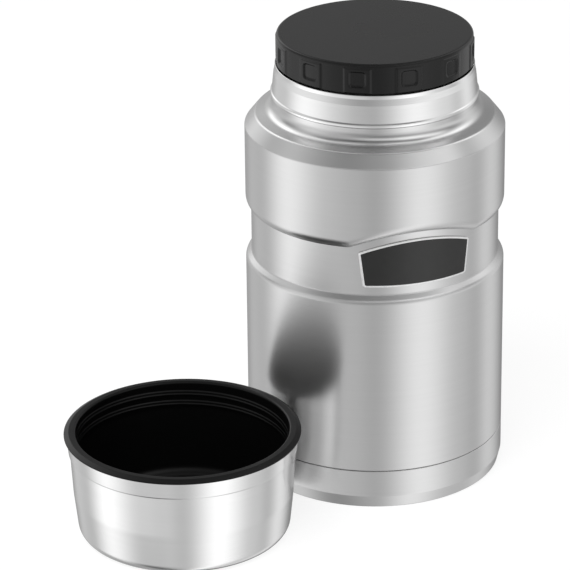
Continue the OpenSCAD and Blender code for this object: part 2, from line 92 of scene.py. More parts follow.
# The arch over the badge, and how softly its ends run out.
arch_half_w = 27.0 * MM
arch_rise = 6.0 * MM
arch_radius = (arch_half_w**2 + arch_rise**2) / (2 * arch_rise)
arch_softness = 0.25 * MM


def corner_arc(before, here, after, steps):
    """Points of the arc that rounds the corner here = (r, z, radius) between its two neighbours."""
    tip = Vector(here[:2])
    back = (Vector(before[:2]) - tip).normalized()
    ahead = (Vector(after[:2]) - tip).normalized()
    half = math.acos(max(-1.0, min(1.0, back.dot(ahead)))) / 2
    centre = tip + (back + ahead).normalized() * (here[2] / math.sin(half))
    first = tip + back * (here[2] / math.tan(half)) - centre
    last = tip + ahead * (here[2] / math.tan(half)) - centre
    turn = math.atan2(first.cross(last), first.dot(last))
    start = math.atan2(first.y, first.x)
    spread = [start + turn * k / steps for k in range(steps + 1)]
    return [(centre.x + here[2] * math.cos(a), centre.y + here[2] * math.sin(a)) for a in spread]


def rounded(corners, steps=6):
    """Closed outline through corners (r, z, radius). A radius of 0 keeps the corner sharp."""
    points = []
    for i, here in enumerate(corners):
        if here[2] == 0:
            points.append((here[0], here[1]))
        else:
            points += corner_arc(corners[i - 1], here, corners[(i + 1) % len(corners)], steps)
    return points


def even_turn(columns):
    """Azimuths of a full turn, from the back, counted from -Y towards +X."""
    return [-math.pi + 2 * math.pi * k / columns for k in range(columns)]


HARD_EDGE = math.radians(28)
SAME_POINT = 1e-7
ON_AXIS = 1e-6


def put_in_scene(mesh_bm, name):
    """Turns a bmesh into a smooth-shaded object with its hard edges marked."""
    bmesh.ops.remove_doubles(mesh_bm, verts=mesh_bm.verts, dist=SAME_POINT)
    bmesh.ops.recalc_face_normals(mesh_bm, faces=mesh_bm.faces)
    for edge in mesh_bm.edges:
        edge.smooth = len(edge.link_faces) == 2 and edge.calc_face_angle() < HARD_EDGE
    mesh = bpy.data.meshes.new(name)
    mesh_bm.to_mesh(mesh)
    mesh_bm.free()
    mesh.polygons.foreach_set("use_smooth", [True] * len(mesh.polygons))
    piece = bpy.data.objects.new(name, mesh)
    bpy.context.collection.objects.link(piece)
    weighted = piece.modifiers.new("Level_shading", "WEIGHTED_NORMAL")
    weighted.keep_sharp = True
    return piece


def turned(name, outline_at, azimuths):
    """A closed piece of revolution. outline_at(azimuth) gives its section as (r, z) points."""
    made = bmesh.new()
    columns = []
    for a in azimuths:
        side, front = math.sin(a), -math.cos(a)
        columns.append([made.verts.new((r * side, r * front, z)) for r, z in outline_at(a)])
    on_axis = [r < ON_AXIS for r, z in outline_at(azimuths[0])]
    for i, column in enumerate(columns):
        following = columns[(i + 1) % len(columns)]
        for k in range(len(column)):
            up = (k + 1) % len(column)
            if not (on_axis[k] and on_axis[up]):
                made.faces.new((column[k], following[k], following[up], column[up]))
    return put_in_scene(made, name)


def arch_lift(azimuth):
    """How far the band's lower crease has risen here: an arc that runs out softly at its ends."""
    if math.cos(azimuth) < 0:
        return 0.0
    off_middle = waist_r * math.sin(azimuth)
    rise = math.sqrt(arch_radius**2 - off_middle**2) - (arch_radius - arch_rise)
    return (rise + math.hypot(rise, arch_softness)) / 2


def shell_outline(azimuth):
    """The shell's wall at one azimuth: up the outside, over the neck's edge, down the inside."""
    lift = arch_lift(azimuth)
    outside = [
        (tail_r, z_tail, 0),
        (tail_r, z_seam + seam_gap, 0),
        (body_r, z_seam + seam_gap, seam_corner),
        (body_r, z_roll - roll_h, roll_corner),
        (waist_r, z_roll, waist_corner),
        (waist_r, z_band + lift, 0),
        (band_r, z_underside + lift, underside_share * underside_r),
        (band_r, z_chamfer, chamfer_corner),
        (ledge_r, z_edge, edge_corner),
        (neck_r, z_ledge, neck_fillet),
        (neck_r, z_collar, neck_corner),
        (collar_bore_r, z_collar, 0),
        (collar_bore_r, z_sleeve, 0),
    ]
    underside_in = underside_r - SHELL_WALL - underside_slack
    inside = [
        (collar_bore_r - SHELL_WALL, z_sleeve, 0),
        (collar_bore_r - SHELL_WALL, z_collar - SHELL_WALL, 0),
        (neck_r - SHELL_WALL, z_collar - SHELL_WALL, 0),
        (neck_r - SHELL_WALL, z_ledge - SHELL_WALL, neck_fillet + SHELL_WALL),
        (ledge_r - SHELL_WALL, z_edge - SHELL_WALL, edge_corner - SHELL_WALL),
        (band_r - SHELL_WALL, z_chamfer - SHELL_WALL / 2, chamfer_corner - SHELL_WALL),
        (band_r - SHELL_WALL, z_underside + lift + SHELL_WALL / 2, underside_in),
        (waist_r - SHELL_WALL, z_band + lift + SHELL_WALL / 2, 0),
        (waist_r - SHELL_WALL, z_roll - SHELL_WALL / 2, waist_corner_in),
        (body_r - SHELL_WALL, z_roll - roll_h - SHELL_WALL / 2, roll_corner_in),
        (body_r - SHELL_WALL, z_seam + tail_step_h, 0),
        (tail_r - SHELL_WALL, z_seam + tail_step_h, 0),
        (tail_r - SHELL_WALL, z_tail, 0),
    ]
    return rounded(outside + inside, 7)


# The mesh has narrow columns where the crease rises, a little past both ends, and wider ones behind.
ARCH_STEPS = 144
PLAIN_STEPS = 232
arch_reach = 1.25 * math.asin(arch_half_w / waist_r)
plain_reach = 2 * math.pi - 2 * arch_reach
shell_columns = [-arch_reach + 2 * arch_reach * k / ARCH_STEPS for k in range(ARCH_STEPS + 1)]
shell_columns += [arch_reach + plain_reach * k / PLAIN_STEPS for k in range(1, PLAIN_STEPS)]
outer_shell = turned("outer_shell_skin", shell_outline, shell_columns)


def tree_node(tree, kind, inputs=None, **settings):
    """Adds a shader node, sets its options, and fills or links its inputs."""
    made = tree.nodes.new(kind)
    for key, value in settings.items():
        setattr(made, key, value)
    for key, value in (inputs or {}).items():
        if isinstance(value, bpy.types.NodeSocket):
            tree.links.new(value, made.inputs[key])
        else:
            made.inputs[key].default_value = value
    return made


def math_node(tree, operation, first, second=0.0):
    """The result of a sum, a product or a function of one or two numbers."""
    return tree_node(tree, "ShaderNodeMath", {0: first, 1: second}, operation=operation).outputs[0]


def new_material(name):
    """An empty material: its tree and its output node."""
    material = bpy.data.materials.new(name)
    material.use_nodes = True
    tree = material.node_tree
    tree.nodes.clear()
    return material, tree, tree_node(tree, "ShaderNodeOutputMaterial")


def grain_coordinates(tree, along, across):
    """Coordinates that change slowly round the axis, and fast up the wall or out over an end."""
    place = tree_node(tree, "ShaderNodeTexCoord").outputs["Object"]
    flat = tree_node(tree, "ShaderNodeVectorMath", {
        0: place, 1: (1, 1, 0)}, operation="MULTIPLY").outputs[0]
    radius = tree_node(tree, "ShaderNodeVectorMath", {0: flat}, operation="LENGTH").outputs["Value"]
    height = tree_node(tree, "ShaderNodeSeparateXYZ", {0: place}).outputs["Z"]
    fast = math_node(tree, "MULTIPLY", math_node(tree, "ADD", radius, height), across)
    slow = tree_node(tree, "ShaderNodeVectorMath", {
        0: flat, 1: (along,) * 3}, operation="MULTIPLY").outputs[0]
    lift = tree_node(tree, "ShaderNodeCombineXYZ", {"Z": fast}).outputs[0]
    return tree_node(tree, "ShaderNodeVectorMath", {0: slow, 1: lift}, operation="ADD").outputs[0]


FINE_GRAIN = {"along": 60, "across": 9000}
BROAD_GRAIN = {"along": 14, "across": 900}
GRAIN_DEPTH = 0.02 * MM
TONE_SHARES = (0.99, 1.01)
GLOSS_SHARES = (0.96, 1.05)
SMOOTH_SHARE = 0.65
SMOOTH_REACH = 1.0 * MM


def brushed_steel(name, shade, roughness, stretch, grain, smooth_from=None):
    """Stainless steel brushed round the axis, which draws reflections out up and down.

    Its tone and gloss vary by small shares. Above the height smooth_from it is finished more finely.
    """
    material, tree, output = new_material(name)
    fine = tree_node(tree, "ShaderNodeTexNoise", {
        "Vector": grain_coordinates(tree, **FINE_GRAIN), "Scale": 1.0, "Detail": 3.0,
        "Roughness": 0.6}).outputs[0]
    broad = tree_node(tree, "ShaderNodeTexNoise", {
        "Vector": grain_coordinates(tree, **BROAD_GRAIN), "Scale": 1.0, "Detail": 2.0}).outputs[0]
    tone = tree_node(tree, "ShaderNodeMapRange", {
        "Value": broad, "From Min": 0.3, "From Max": 0.7,
        "To Min": shade * TONE_SHARES[0], "To Max": shade * TONE_SHARES[1]}).outputs[0]
    colour = tree_node(tree, "ShaderNodeCombineColor", {
        "Red": tone, "Green": tone, "Blue": tone}).outputs[0]
    gloss = tree_node(tree, "ShaderNodeMapRange", {
        "Value": fine, "From Min": 0.25, "From Max": 0.75,
        "To Min": roughness * GLOSS_SHARES[0], "To Max": roughness * GLOSS_SHARES[1]}).outputs[0]
    if smooth_from is not None:
        place = tree_node(tree, "ShaderNodeTexCoord").outputs["Object"]
        height = tree_node(tree, "ShaderNodeSeparateXYZ", {0: place}).outputs["Z"]
        share = tree_node(tree, "ShaderNodeMapRange", {
            "Value": height, "From Min": smooth_from, "From Max": smooth_from + SMOOTH_REACH,
            "To Min": 1.0, "To Max": SMOOTH_SHARE}).outputs[0]
        gloss = math_node(tree, "MULTIPLY", gloss, share)
    bump = tree_node(tree, "ShaderNodeBump", {
        "Height": fine, "Strength": grain, "Distance": GRAIN_DEPTH}).outputs[0]
    round_axis = tree_node(tree, "ShaderNodeTangent", direction_type="RADIAL", axis="Z").outputs[0]
    steel = tree_node(tree, "ShaderNodeBsdfPrincipled", {
        "Base Color": colour, "Metallic": 1.0, "Roughness": gloss, "Normal": bump,
        "Anisotropic": stretch, "Anisotropic Rotation": 0.25, "Tangent": round_axis})
    tree.links.new(steel.outputs[0], output.inputs[0])
    return material


z_fine_finish = z_edge - 0.5 * MM
body_steel = brushed_steel(
    "body_steel", shade=0.62, roughness=0.29, stretch=0.62, grain=0.004, smooth_from=z_fine_finish)
outer_shell.data.materials.append(body_steel)
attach(outer_shell, "jar")
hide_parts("outer_shell")

# --------------------------------------------------------------------------------------------------
# Base cup: a pressed steel cup pushed over the shell's tail. A fine dark seam is left above it,
# and its foot is turned to a bevel that catches more light than the wall.
# --------------------------------------------------------------------------------------------------
CUP_WALL = 0.7 * MM
ROUND_COLUMNS = 288
bevel_h = 5.4 * MM
foot_r = body_r - 1.3 * MM
foot_w = 6.0 * MM
recess_h = 1.5 * MM
foot_corner = 0.6 * MM
recess_corner = 0.5 * MM
press_corner = 0.4 * MM
base_outline = rounded([
    (0, recess_h, 0),
    (foot_r - foot_w, recess_h, recess_corner),
    (foot_r - foot_w - recess_h / 2, 0, recess_corner),
    (foot_r, 0, foot_corner),
    (body_r, bevel_h, press_corner),
    (body_r, z_seam, seam_corner),
    (tail_r, z_seam, 0),
    (tail_r, bevel_h + CUP_WALL / 2, press_corner),
    (foot_r - CUP_WALL, CUP_WALL, press_corner),
    (foot_r - foot_w + CUP_WALL, CUP_WALL, press_corner),
    (foot_r - foot_w + CUP_WALL, recess_h + CUP_WALL, press_corner),
    (0, recess_h + CUP_WALL, 0),
])
base_cup = turned("base_cup_skin", lambda azimuth: base_outline, even_turn(ROUND_COLUMNS))
base_cup.data.materials.append(body_steel)
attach(base_cup, "jar")
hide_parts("base_cup")

# --------------------------------------------------------------------------------------------------
# Neck collar: a rolled steel collar welded to the neck, a little brighter than the shell. Its lip
# is drawn in, its wall widens downwards, and a bead at its foot gives the bowl something to catch
# under.
# --------------------------------------------------------------------------------------------------
collar_r = 41.75 * MM
collar_foot_r = collar_r + 0.75 * MM
lip_r = collar_r - 0.55 * MM
bead_r = neck_r + 0.9 * MM
z_bead = z_collar + 1.5 * MM
z_lip = z_collar + 13.6 * MM
z_draw = z_lip - 4.2 * MM
lip_h = 1.6 * MM
bead_slope_h = 0.6 * MM
bead_low_corner = 0.7 * MM
bead_top_corner = 0.5 * MM
bead_fillet = 0.3 * MM
draw_corner = 1.0 * MM
lip_corner = 0.25 * MM
collar_outline = rounded([
    (collar_bore_r, z_collar, 0),
    (bead_r, z_collar, bead_low_corner),
    (bead_r, z_bead, bead_top_corner),
    (collar_foot_r, z_bead + bead_slope_h, bead_fillet),
    (collar_r, z_draw, draw_corner),
    (lip_r, z_lip - lip_h, draw_corner),
    (lip_r, z_lip, lip_corner),
    (collar_bore_r, z_lip, 0),
])
neck_steel = brushed_steel("neck_steel", shade=0.78, roughness=0.16, stretch=0.3, grain=0.008)
neck_collar = turned("neck_collar_skin", lambda azimuth: collar_outline, even_turn(ROUND_COLUMNS))
neck_collar.data.materials.append(neck_steel)
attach(neck_collar, "jar")
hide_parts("neck_collar")

# --------------------------------------------------------------------------------------------------
# Food vessel: the inner wall of the vacuum, polished inside. Its neck carries the rolled thread
# that the stopper screws into: one ridge pushed in from outside, a turn and a half long, which
# fades at both ends.
# --------------------------------------------------------------------------------------------------
VESSEL_WALL = 0.5 * MM
THREADED_COLUMNS = 240
mouth_r = 39.8 * MM
vessel_r = 42.0 * MM
vessel_neck_r = mouth_r + VESSEL_WALL
vessel_corner = 4.0 * MM
z_weld = 33.0 * MM
z_vessel_neck = z_lip - 30.0 * MM
z_vessel_body = z_vessel_neck - 6.0 * MM
THREAD_PITCH = 4.5 * MM
THREAD_RUN_OUT = 0.08
neck_thread_start = z_lip - 16.0 * MM
neck_thread_turns = 1.5
neck_thread_h = 0.7 * MM
neck_thread_half_w = 1.3 * MM


def even_rows(first, last, steps):
    """Heights at even steps from the first to the last."""
    return [first + (last - first) * k / steps for k in range(steps + 1)]


def thread_fade(travelled, turns):
    """The thread's share of its full height, counted in turns from its start: low at both ends."""
    return min(1.0, travelled / THREAD_RUN_OUT, (turns - travelled) / THREAD_RUN_OUT)


def thread_height(azimuth, z, start, turns, half_width):
    """The thread's height at this place, from 0 to 1: a rounded ridge on a right-hand helix."""
    height = 0.0
    for lap in range(math.ceil(turns) + 1):
        travelled = (azimuth + math.pi) / (2 * math.pi) % 1 + lap
        if travelled > turns:
            continue
        off = abs(z - start - THREAD_PITCH * travelled) / half_width
        if off < 1:
            ridge = thread_fade(travelled, turns) * (0.5 + 0.5 * math.cos(math.pi * off))
            height = max(height, ridge)
    return height


def vessel_outline(azimuth):
    """The vessel's wall here, with the thread pressed inwards through both faces of its neck."""
    outside = rounded([
        (vessel_r + VESSEL_WALL, z_weld, 0),
        (vessel_r + VESSEL_WALL, z_vessel_body, vessel_corner),
        (vessel_neck_r, z_vessel_neck, vessel_corner),
        (vessel_neck_r, z_lip, 0),
    ])
    inside = rounded([
        (mouth_r, z_lip, 0),
        (mouth_r, z_vessel_neck, vessel_corner),
        (vessel_r, z_vessel_body, vessel_corner),
        (vessel_r, z_weld, 0),
    ])
    pressed = []
    for z in even_rows(z_vessel_neck + vessel_corner, z_lip - 1.0 * MM, 56):
        ridge = thread_height(azimuth, z, neck_thread_start, neck_thread_turns, neck_thread_half_w)
        pressed.append((neck_thread_h * ridge, z))
    up = [(vessel_neck_r - p, z) for p, z in pressed]
    down = [(mouth_r - p, z) for p, z in reversed(pressed)]
    return outside[:-1] + up + [outside[-1], inside[0]] + down + inside[1:]


inner_vessel = turned("inner_vessel_skin", vessel_outline, even_turn(THREADED_COLUMNS))
vessel_steel = brushed_steel("vessel_steel", shade=0.7, roughness=0.2, stretch=0.3, grain=0.006)
inner_vessel.data.materials.append(vessel_steel)
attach(inner_vessel, "jar")
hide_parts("inner_vessel")

# --------------------------------------------------------------------------------------------------
# Inside the vacuum and under it: the vessel's drawn bottom, its foil wrap, the dished outer bottom
# with its sealing bead, and the getter in its sheet clip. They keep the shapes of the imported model.
# --------------------------------------------------------------------------------------------------


def finish_node(node, material):
    """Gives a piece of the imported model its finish."""
    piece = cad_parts[node]
    piece.data.materials.clear()
    piece.data.materials.append(material)


SPECKLE_DEPTH = 0.1 * MM


def speckled(name, low_tone, high_tone, roughness, scale, metallic=0.0, bump=0.1):
    """A cast, sintered or foamed surface: two tones mixed by noise, which is its relief as well."""
    material, tree, output = new_material(name)
    place = tree_node(tree, "ShaderNodeTexCoord").outputs["Object"]
    spots = tree_node(tree, "ShaderNodeTexNoise", {
        "Vector": place, "Scale": scale, "Detail": 4.0}).outputs[0]
    ramp = tree_node(tree, "ShaderNodeValToRGB", {"Fac": spots})
    ramp.color_ramp.elements[0].position = 0.35
    ramp.color_ramp.elements[0].color = (*low_tone, 1)
    ramp.color_ramp.elements[1].position = 0.65
    ramp.color_ramp.elements[1].color = (*high_tone, 1)
    relief = tree_node(tree, "ShaderNodeBump", {
        "Height": spots, "Strength": bump, "Distance": SPECKLE_DEPTH}).outputs[0]
    surface = tree_node(tree, "ShaderNodeBsdfPrincipled", {
        "Base Color": ramp.outputs[0], "Roughness": roughness, "Metallic": metallic,
        "Normal": relief})
    tree.links.new(surface.outputs[0], output.inputs[0])
    return material


plain_steel = brushed_steel("plain_steel", shade=0.58, roughness=0.34, stretch=0.2, grain=0.08)
copper_foil = speckled(
    "copper_foil", (0.72, 0.42, 0.3), (0.85, 0.52, 0.38),
    roughness=0.25, scale=900, metallic=1.0, bump=0.3)
sealing_bead = speckled(
    "sealing_bead", (0.16, 0.155, 0.15), (0.27, 0.26, 0.25), roughness=0.5, scale=1500)
sintered_getter = speckled(
    "sintered_getter", (0.2, 0.21, 0.22), (0.34, 0.35, 0.37),
    roughness=0.8, scale=4000, metallic=0.4, bump=0.5)
finish_node("vessel_bottom", vessel_steel)
finish_node("outer_bottom", plain_steel)
finish_node("getter_clip", plain_steel)
finish_node("radiation_foil", copper_foil)
finish_node("vacuum_plug", sealing_bead)
finish_node("getter", sintered_getter)

# --------------------------------------------------------------------------------------------------
# Badge: a curved metal plate on an adhesive pad, with a raised satin border round a black
# enamelled field. Its upper edge arches with the band above it. The field is left bare.
# --------------------------------------------------------------------------------------------------
z_badge = z_waist + 3.1 * MM
badge_low_w = 22.4 * MM
badge_top_w = 24.0 * MM
badge_side_h = 15.1 * MM
badge_arch = 5.1 * MM
badge_corner = 1.0 * MM
badge_least_corner = 0.2 * MM
badge_border = 0.8 * MM
tape_r = waist_r + 0.3 * MM
badge_r = tape_r + 0.5 * MM
field_r = badge_r - 0.3 * MM
BADGE_ARC_STEPS = 32
BADGE_STRIPS = 40


def badge_loop(inset, radius_at):
    """The badge's outline drawn in by inset, at one distance from the jar's axis."""
    radius = (badge_top_w**2 + badge_arch**2) / (2 * badge_arch) - inset
    centre = z_badge + badge_side_h + badge_arch - radius - inset
    low_w = badge_low_w - inset
    half = math.asin((badge_top_w - inset) / radius)
    soft = max(badge_corner - inset / 2, badge_least_corner)
    corners = [(-low_w, z_badge + inset, soft), (low_w, z_badge + inset, soft)]
    for k in range(BADGE_ARC_STEPS + 1):
        a = half - 2 * half * k / BADGE_ARC_STEPS
        at_end = k in (0, BADGE_ARC_STEPS)
        x, z = radius * math.sin(a), centre + radius * math.cos(a)
        corners.append((x, z, soft if at_end else 0))
    return [(x, radius_at, z) for x, z in rounded(corners, 5)]


def bent_plate(name, loops):
    """A plate built flat from nested loops, cut into narrow strips and bent round the waist."""
    made = bmesh.new()
    rings = [[made.verts.new(p) for p in loop] for loop in loops]
    for low, high in zip(rings, rings[1:]):
        for i in range(len(low)):
            j = (i + 1) % len(low)
            made.faces.new((low[i], low[j], high[j], high[i]))
    made.faces.new(rings[0])
    made.faces.new(rings[-1])
    for k in range(1, BADGE_STRIPS):
        cut = (-badge_top_w + 2 * badge_top_w * k / BADGE_STRIPS, 0, 0)
        everything = made.verts[:] + made.edges[:] + made.faces[:]
        bmesh.ops.bisect_plane(
            made, geom=everything, plane_co=cut, plane_no=(1, 0, 0), dist=1e-6)
    for vert in made.verts:
        vert.co.y = -math.sqrt(vert.co.y**2 - vert.co.x**2)
    return put_in_scene(made, name)


badge_plate = bent_plate("badge_plate_skin", [
    badge_loop(0, tape_r),
    badge_loop(0, badge_r - 0.3 * MM),
    badge_loop(0.1 * MM, badge_r - 0.1 * MM),
    badge_loop(0.3 * MM, badge_r),
    badge_loop(badge_border - 0.12 * MM, badge_r),
    badge_loop(badge_border, badge_r - 0.1 * MM),
    badge_loop(badge_border, field_r),
])
badge_plate.data.materials.append(speckled(
    "badge_metal", (0.78, 0.78, 0.78), (0.84, 0.84, 0.84),
    roughness=0.42, scale=700, metallic=0.6, bump=0.04))
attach(badge_plate, "jar")
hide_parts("badge_plate")

badge_field = bent_plate("badge_field_skin", [
    badge_loop(badge_border, field_r + 0.01 * MM),
    badge_loop(badge_border, field_r + 0.14 * MM),
    badge_loop(badge_border + 0.15 * MM, field_r + 0.2 * MM),
])
badge_field.data.materials.append(speckled(
    "badge_enamel", (0.006, 0.006, 0.0056), (0.008, 0.008, 0.0075),
    roughness=0.35, scale=260, bump=0.05))
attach(badge_field, "jar")
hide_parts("badge_field")
finish_node("badge_tape", speckled(
    "foam_tape", (0.6, 0.6, 0.58), (0.74, 0.74, 0.72), roughness=0.9, scale=3000))

# --------------------------------------------------------------------------------------------------
# Stopper cap: black polypropylene, moulded in one shot with a fine spark texture. Twelve low pads
# stand round its side, each with a rounded pocket for the finger tips, under a plain top with a
# softened edge.
# --------------------------------------------------------------------------------------------------
cap_r = collar_r - 1.25 * MM
z_cap = z_lip + 0.3 * MM
z_cap_top = z_lip + 13.0 * MM
z_cap_roof = z_cap_top - 2.2 * MM
cap_edge = 1.2 * MM
flange_r = 38.4 * MM
CAP_TOP_RINGS = 5
PAD_COUNT = 12
PAD_STEP = 0.4 * MM
PAD_HALF = math.radians(7.75)
pad_low = z_cap + 0.5 * MM
pad_high = z_cap_top - 1.8 * MM
pad_end_softness = 0.21 * MM
pad_side_softness = 0.48 * MM
POCKET_DEPTH = 0.7 * MM
pocket_half_w = 3.2 * MM
pocket_half_h = 3.15 * MM
pocket_middle = z_cap + 3.1 * MM + pocket_half_h
pocket_corner = 1.2 * MM

# Columns of the cap's mesh, in degrees from a pad's middle to halfway to the next pad. They lie
# closest at the edges of the pocket and of the pad.
PAD_COLUMN_DEGREES = [
    0.0, 1.4, 2.6, 3.2, 3.6, 4.0, 4.3, 4.6, 4.9, 5.3, 6.0, 6.8, 7.2, 7.5, 7.8, 8.1, 8.5, 9.0,
    11.0, 13.0, 15.0,
]


def ramp_between(value, low, high):
    """0 below low, 1 above high, and a smooth rise between them."""
    t = max(0.0, min(1.0, (value - low) / (high - low)))
    return t * t * (3 - 2 * t)


def grip_relief(azimuth, z):
    """How far the grip ring stands out from the plain side: pads out, pockets in."""
    period = 2 * math.pi / PAD_COUNT
    from_middle = abs((azimuth + period / 2) % period - period / 2)
    inside_sides = (PAD_HALF - from_middle) * cap_r
    inside_ends = min(z - pad_low, pad_high - z)
    pad = ramp_between(inside_sides, -pad_side_softness, pad_side_softness)
    pad *= ramp_between(inside_ends, -pad_end_softness, pad_end_softness)
    past_x = max(from_middle * cap_r - (pocket_half_w - pocket_corner), 0)
    past_z = max(abs(z - pocket_middle) - (pocket_half_h - pocket_corner), 0)
    inside_pocket = pocket_corner - math.hypot(past_x, past_z)
    pocket = ramp_between(inside_pocket, -pad_side_softness, pad_side_softness)
    return PAD_STEP * pad - POCKET_DEPTH * pocket


def cap_outline(azimuth):
    """The cap's section here: over the top, down the gripped side, and up inside the skirt."""
    top = [(cap_r * k / CAP_TOP_RINGS, z_cap_top) for k in range(CAP_TOP_RINGS)]
    top += corner_arc((0, z_cap_top), (cap_r, z_cap_top, cap_edge), (cap_r, z_cap), 8)
    rows = even_rows(z_cap_top - 1.25 * MM, z_cap + 0.35 * MM, 52)
    side = [(cap_r + grip_relief(azimuth, z), z) for z in rows]
    under = rounded([
        (cap_r, z_cap, 0.3 * MM),
        (flange_r, z_cap, 0),
        (flange_r, z_cap_roof, 1.0 * MM),
        (0, z_cap_roof, 0),
    ], 4)
    return top + side + under[1:]


pad_columns = []
for pad in range(PAD_COUNT):
    middle = 2 * math.pi * pad / PAD_COUNT
    pad_columns += [middle - math.radians(off) for off in reversed(PAD_COLUMN_DEGREES[1:])]
    pad_columns += [middle + math.radians(off) for off in PAD_COLUMN_DEGREES[:-1]]
stopper_cap = turned("stopper_cap_skin", cap_outline, pad_columns)

SPARK_DEPTH = 0.05 * MM
DEEP_SHARE = 0.85
FLOW_SHARES = (0.97, 1.04)


def moulded_plastic(name, shade, roughness, texture, scale, specular=0.5):
    """Injection-moulded plastic: one colour, a fine spark texture and slightly uneven gloss."""
    material, tree, output = new_material(name)
    place = tree_node(tree, "ShaderNodeTexCoord").outputs["Object"]
    sparks = tree_node(tree, "ShaderNodeTexNoise", {
        "Vector": place, "Scale": scale, "Detail": 2.0}).outputs[0]
    flow = tree_node(tree, "ShaderNodeTexNoise", {
        "Vector": place, "Scale": 45.0, "Detail": 3.0}).outputs[0]
    gloss = tree_node(tree, "ShaderNodeMapRange", {
        "Value": flow, "From Min": 0.3, "From Max": 0.7,
        "To Min": roughness * FLOW_SHARES[0], "To Max": roughness * FLOW_SHARES[1]}).outputs[0]
    ramp = tree_node(tree, "ShaderNodeValToRGB", {"Fac": sparks})
    ramp.color_ramp.elements[0].color = (*(shade * DEEP_SHARE,) * 3, 1)
    ramp.color_ramp.elements[1].color = (*(shade,) * 3, 1)
    relief = tree_node(tree, "ShaderNodeBump", {
        "Height": sparks, "Strength": texture, "Distance": SPARK_DEPTH}).outputs[0]
    surface = tree_node(tree, "ShaderNodeBsdfPrincipled", {
        "Base Color": ramp.outputs[0], "Roughness": gloss, "Normal": relief,
        "Specular IOR Level": specular})
    tree.links.new(surface.outputs[0], output.inputs[0])
    return material


black_plastic = moulded_plastic(
    "black_plastic", shade=0.004, roughness=0.27, texture=0.02, scale=2600, specular=0.3)
stopper_cap.data.materials.append(black_plastic)
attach(stopper_cap, "stopper")
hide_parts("stopper_cap")

# --------------------------------------------------------------------------------------------------
# Stopper plug, gasket and foam: a hollow moulded plug welded into the cap, with the outside thread
# on its wall and a groove for the silicone ring. The foam is poured in before the cap goes on.
# --------------------------------------------------------------------------------------------------
PLUG_WALL = 1.6 * MM
plug_r = mouth_r - 1.7 * MM
groove_r = plug_r - 1.7 * MM
z_groove = z_cap - 3.0 * MM
z_plug = z_lip - 24.0 * MM
z_plug_rim = z_cap + 2.2 * MM
z_neck_down = z_groove - PLUG_WALL
plug_corner = 3.0 * MM
plug_thread_start = neck_thread_start - 3.4 * MM
plug_thread_turns = 1.75
plug_thread_h = 0.8 * MM
plug_thread_half_w = 1.1 * MM


def plug_outline(azimuth):
    """The plug's section at one azimuth, with its thread just above the neck's."""
    wall = []
    for z in even_rows(z_plug + 4.0 * MM, z_groove - 1.0 * MM, 48):
        ridge = thread_height(azimuth, z, plug_thread_start, plug_thread_turns, plug_thread_half_w)
        wall.append((plug_r + plug_thread_h * ridge, z))
    low = rounded([
        (0, z_plug, 0),
        (plug_r, z_plug, plug_corner),
        (plug_r, z_plug + 3.5 * MM, 0),
    ])
    rest = rounded([
        (plug_r, z_groove, 0),
        (groove_r, z_groove, 0),
        (groove_r, z_cap, 0),
        (flange_r, z_cap, 0),
        (flange_r, z_plug_rim, 0),
        (groove_r - PLUG_WALL, z_plug_rim, 0),
        (groove_r - PLUG_WALL, z_neck_down, 0),
        (plug_r - PLUG_WALL, z_neck_down - 1.7 * MM, 0),
        (plug_r - PLUG_WALL, z_plug + PLUG_WALL, 2.0 * MM),
        (0, z_plug + PLUG_WALL, 0),
    ])
    return low + wall + rest


stopper_plug = turned("stopper_plug_skin", plug_outline, even_turn(THREADED_COLUMNS))
stopper_plug.data.materials.append(black_plastic)
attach(stopper_plug, "stopper")
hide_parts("stopper_plug")

GASKET_COLUMNS = 192
gasket_in = groove_r + 0.3 * MM
gasket_out = mouth_r - 0.3 * MM
gasket_low = z_groove + 0.3 * MM
gasket_high = gasket_low + 2.4 * MM
gasket_outline = rounded([
    (gasket_in, gasket_low, 0.4 * MM),
    (plug_r - 0.2 * MM, gasket_low, 0.3 * MM),
    (plug_r, gasket_low + 0.9 * MM, 0.3 * MM),
    (gasket_out, gasket_low + 0.5 * MM, 0.2 * MM),
    (gasket_out, gasket_low + 1.1 * MM, 0.2 * MM),
    (gasket_out - 0.5 * MM, gasket_high, 0.4 * MM),
    (gasket_in, gasket_high, 0.4 * MM),
], 4)
stopper_gasket = turned(
    "stopper_gasket_skin", lambda azimuth: gasket_outline, even_turn(GASKET_COLUMNS))
stopper_gasket.data.materials.append(moulded_plastic(
    "dark_silicone", shade=0.1, roughness=0.6, texture=0.05, scale=900))
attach(stopper_gasket, "stopper_seal")
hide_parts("stopper_gasket")
finish_node("stopper_foam", speckled(
    "poured_foam", (0.72, 0.66, 0.42), (0.86, 0.8, 0.58), roughness=0.95, scale=1800, bump=0.6))

# --------------------------------------------------------------------------------------------------
# Bowl lid: a spun steel bowl, brighter than the jar, with a rounded foot and a flared collar under
# the rim. It stands mouth up beside the jar, turned over from where it screws down on the neck.
# --------------------------------------------------------------------------------------------------
BOWL_WALL = 0.5 * MM
BOWL_COLUMNS = 256
bowl_h = 45.2 * MM
bowl_mouth_r = bead_r + 0.6 * MM
bowl_r = bowl_mouth_r + 4.9 * MM
bowl_collar_r = bowl_r - 1.0 * MM
bowl_top_r = bowl_collar_r - 1.3 * MM
bowl_base_r = bowl_top_r - 2.9 * MM
bowl_half_r = (bowl_top_r + bowl_base_r) / 2 + 0.5 * MM
z_rim = bowl_h - 1.5 * MM
z_bowl_collar = z_rim - 7.0 * MM
bowl_step = 0.6 * MM
bowl_foot = 5.0 * MM
bowl_belly = 40.0 * MM
bowl_low, bowl_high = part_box("bowl_liner")
bowl_place = ((bowl_low[0] + bowl_high[0]) / 2, (bowl_low[1] + bowl_high[1]) / 2, 0)
